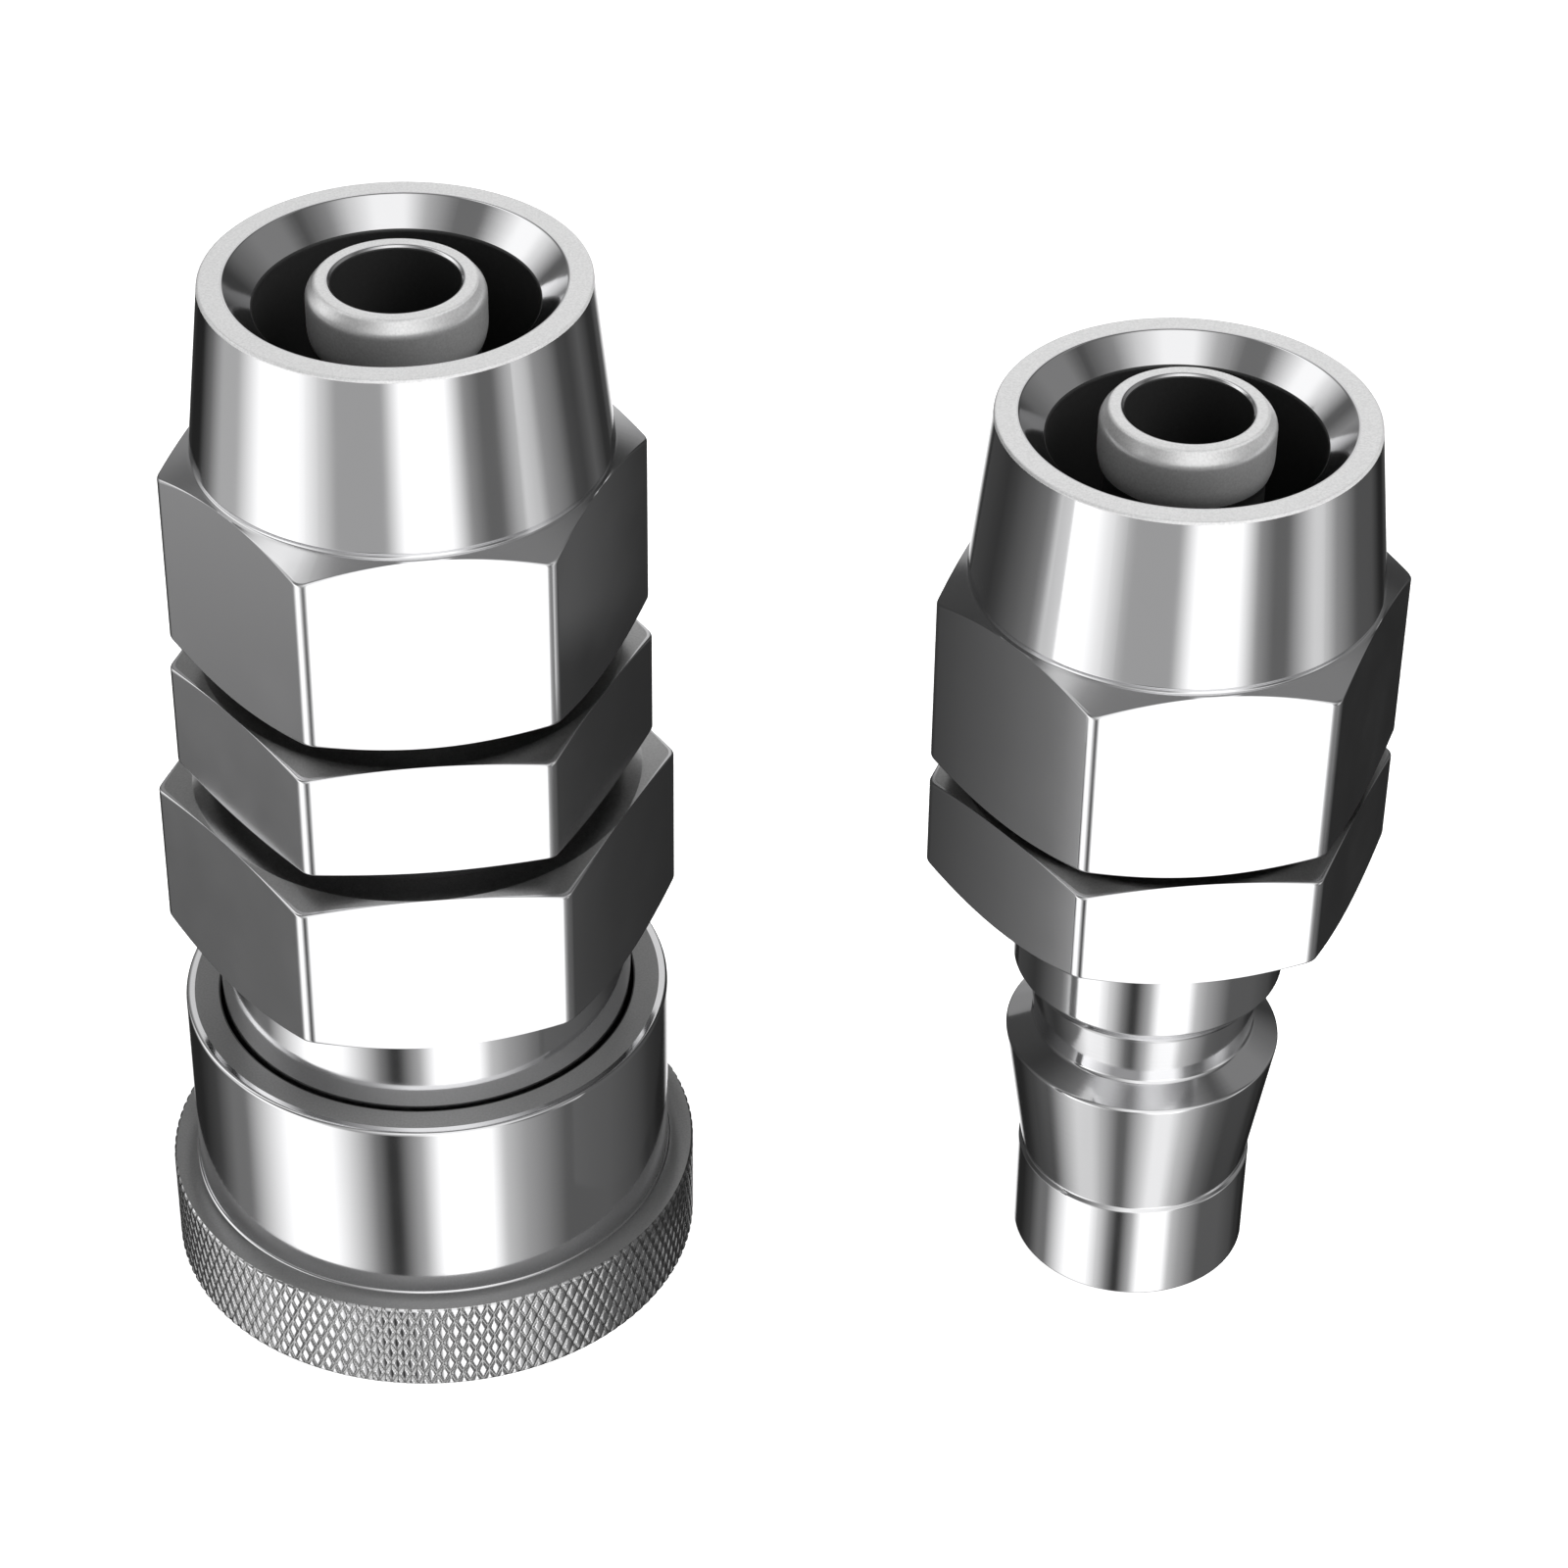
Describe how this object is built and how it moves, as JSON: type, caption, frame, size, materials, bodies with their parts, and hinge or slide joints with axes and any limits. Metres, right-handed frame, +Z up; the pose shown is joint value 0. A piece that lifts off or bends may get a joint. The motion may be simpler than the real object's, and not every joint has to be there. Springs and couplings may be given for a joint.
{
  "type": "quick coupling",
  "caption": "Ball-lock quick coupling for an air hose: socket half with a knurled release sleeve and plug half, each with a hexagonal hose nut, standing side by side.",
  "frame": {"origin": "on the floor, in the middle of the pair's outer size in X and Y", "axes": "+Z up along both halves' axes, +X from the socket half to the plug half"},
  "size_m": [0.0612, 0.027, 0.0562],
  "materials": {
    "nickel_plate": "polished nickel plate on steel, with fine turning marks",
    "spring_steel": "bright drawn spring steel",
    "ball_steel": "polished bearing steel",
    "seal_rubber": "matte black nitrile",
    "valve_brass": "machined brass"
  },
  "bodies": {
    "coupling": {"socket_body": "nickel_plate", "hose_adapter": "nickel_plate", "adapter_washer": "seal_rubber", "sleeve_spring": "spring_steel", "stop_ring": "spring_steel", "packing_ring": "seal_rubber", "valve_spring": "spring_steel", "plug_body": "nickel_plate"},
    "sleeve": {"release_sleeve": "nickel_plate"},
    "valve": {"valve_poppet": "valve_brass", "valve_seal": "seal_rubber"},
    "socket_nut": {"socket_hose_nut": "nickel_plate"},
    "plug_nut": {"plug_hose_nut": "nickel_plate"},
    "ball_1": {"locking_ball_1": "ball_steel"},
    "ball_2": {"locking_ball_2": "ball_steel"},
    "ball_3": {"locking_ball_3": "ball_steel"},
    "ball_4": {"locking_ball_4": "ball_steel"},
    "ball_5": {"locking_ball_5": "ball_steel"},
    "ball_6": {"locking_ball_6": "ball_steel"},
    "ball_7": {"locking_ball_7": "ball_steel"},
    "ball_8": {"locking_ball_8": "ball_steel"}
  },
  "joints": [
    {"name": "release_slide", "type": "slide", "parent": "coupling", "child": "sleeve", "axis": [0, 0, 1], "range_m": [0, 0.0035], "stiffness_N_per_m": 1500, "springref_m": -0.006, "deforming": ["sleeve_spring"]},
    {"name": "valve_lift", "type": "slide", "parent": "coupling", "child": "valve", "axis": [0, 0, 1], "range_m": [0, 0.003], "stiffness_N_per_m": 500, "springref_m": -0.004, "deforming": ["valve_spring"]},
    {"name": "socket_nut_turn", "type": "hinge", "parent": "coupling", "child": "socket_nut", "pos_m": [-0.01712, 0, 0.045], "axis": [0, 0, 1], "range_deg": [-270, 1440]},
    {"name": "plug_nut_turn", "type": "hinge", "parent": "coupling", "child": "plug_nut", "pos_m": [0.01922, 0, 0.04], "axis": [0, 0, 1], "range_deg": [-150, 1440]},
    {"name": "ball_1_out", "type": "slide", "parent": "coupling", "child": "ball_1", "axis": [1, 0, 0], "range_m": [0, 0.00085]},
    {"name": "ball_2_out", "type": "slide", "parent": "coupling", "child": "ball_2", "axis": [0.7071, 0.7071, 0], "range_m": [0, 0.00085]},
    {"name": "ball_3_out", "type": "slide", "parent": "coupling", "child": "ball_3", "axis": [0, 1, 0], "range_m": [0, 0.00085]},
    {"name": "ball_4_out", "type": "slide", "parent": "coupling", "child": "ball_4", "axis": [-0.7071, 0.7071, 0], "range_m": [0, 0.00085]},
    {"name": "ball_5_out", "type": "slide", "parent": "coupling", "child": "ball_5", "axis": [-1, 0, 0], "range_m": [0, 0.00085]},
    {"name": "ball_6_out", "type": "slide", "parent": "coupling", "child": "ball_6", "axis": [-0.7071, -0.7071, 0], "range_m": [0, 0.00085]},
    {"name": "ball_7_out", "type": "slide", "parent": "coupling", "child": "ball_7", "axis": [0, -1, 0], "range_m": [0, 0.00085]},
    {"name": "ball_8_out", "type": "slide", "parent": "coupling", "child": "ball_8", "axis": [0.7071, -0.7071, 0], "range_m": [0, 0.00085]}
  ],
  "couplings": [
    {"joint": "ball_1_out", "follows": "release_slide", "ratio": 0.24285},
    {"joint": "ball_2_out", "follows": "release_slide", "ratio": 0.24285},
    {"joint": "ball_3_out", "follows": "release_slide", "ratio": 0.24285},
    {"joint": "ball_4_out", "follows": "release_slide", "ratio": 0.24285},
    {"joint": "ball_5_out", "follows": "release_slide", "ratio": 0.24285},
    {"joint": "ball_6_out", "follows": "release_slide", "ratio": 0.24285},
    {"joint": "ball_7_out", "follows": "release_slide", "ratio": 0.24285},
    {"joint": "ball_8_out", "follows": "release_slide", "ratio": 0.24285}
  ]
}
